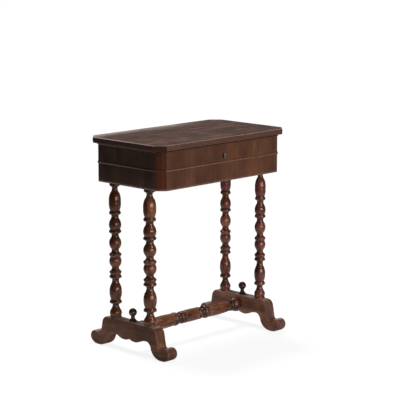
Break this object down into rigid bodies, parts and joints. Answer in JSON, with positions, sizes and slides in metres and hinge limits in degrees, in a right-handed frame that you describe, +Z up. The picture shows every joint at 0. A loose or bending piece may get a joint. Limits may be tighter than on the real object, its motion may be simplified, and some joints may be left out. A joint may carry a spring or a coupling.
{
  "type": "work table",
  "caption": "Small wooden work table: a box with canted corners, hinged lid, lock and sliding till, on turned legs, scroll-footed trestles and a turned stretcher.",
  "frame": {"origin": "on the floor, under the middle of the table", "axes": "+X to the right along the table, +Y to the back, so that the keyhole faces -Y, +Z up"},
  "size_m": [0.64, 0.394, 0.737],
  "materials": {
    "veneer": "worn wax polish",
    "bead": "worn wax polish",
    "turned_wood": "glossy polish",
    "trestle_wood": "dull wax polish",
    "dark_turned_wood": "glossy polish",
    "inner_wood": "bare wood",
    "old_brass": "dull",
    "iron": "dark oxide"
  },
  "bodies": {
    "stand": {"trestle_left": "trestle_wood", "trestle_right": "trestle_wood", "leg_front_left": "turned_wood", "leg_front_right": "turned_wood", "leg_back_left": "turned_wood", "leg_back_right": "turned_wood", "stretcher": "turned_wood", "finial_left": "dark_turned_wood", "finial_right": "dark_turned_wood", "case_front": "veneer", "case_back": "veneer", "case_left": "veneer", "case_right": "veneer", "corner_front_left": "veneer", "corner_front_right": "veneer", "corner_back_left": "veneer", "corner_back_right": "veneer", "case_floor": "inner_wood", "bearer_left": "inner_wood", "bearer_right": "inner_wood", "waist_bead_front": "bead", "waist_bead_left": "bead", "waist_bead_right": "bead", "waist_bead_corner_front_left": "bead", "waist_bead_corner_front_right": "bead", "waist_bead_corner_back_left": "bead", "waist_bead_corner_back_right": "bead", "rim_bead_front": "bead", "rim_bead_left": "bead", "rim_bead_right": "bead", "rim_bead_corner_front_left": "bead", "rim_bead_corner_front_right": "bead", "rim_bead_corner_back_left": "bead", "rim_bead_corner_back_right": "bead", "hinge_left_case_leaf": "old_brass", "hinge_right_case_leaf": "old_brass", "hinge_left_pin": "old_brass", "hinge_right_pin": "old_brass", "hinge_case_screws": "iron", "lock_case": "iron", "lock_cover": "iron", "lock_screws": "iron", "escutcheon": "old_brass", "runner_front": "inner_wood", "runner_back": "inner_wood"},
    "lid": {"lid_board": "veneer", "hinge_left_lid_leaf": "old_brass", "hinge_right_lid_leaf": "old_brass", "hinge_lid_screws": "iron", "strike_plate": "old_brass", "strike_screws": "iron"},
    "till": {"till_floor": "inner_wood", "till_front": "inner_wood", "till_back": "inner_wood", "till_left": "inner_wood", "till_right": "inner_wood", "till_divider_left": "inner_wood", "till_divider_right": "inner_wood"},
    "bolt": {"lock_bolt": "iron"}
  },
  "joints": [
    {"name": "lid_hinge", "type": "hinge", "parent": "stand", "child": "lid", "pos_m": [0, 0.1699, 0.71625], "axis": [-1, 0, 0], "range_deg": [0, 100]},
    {"name": "till_slide", "type": "slide", "parent": "stand", "child": "till", "axis": [1, 0, 0], "range_m": [-0.2934, 0]},
    {"name": "bolt_slide", "type": "slide", "parent": "stand", "child": "bolt", "axis": [1, 0, 0], "range_m": [0, 0.006]}
  ]
}
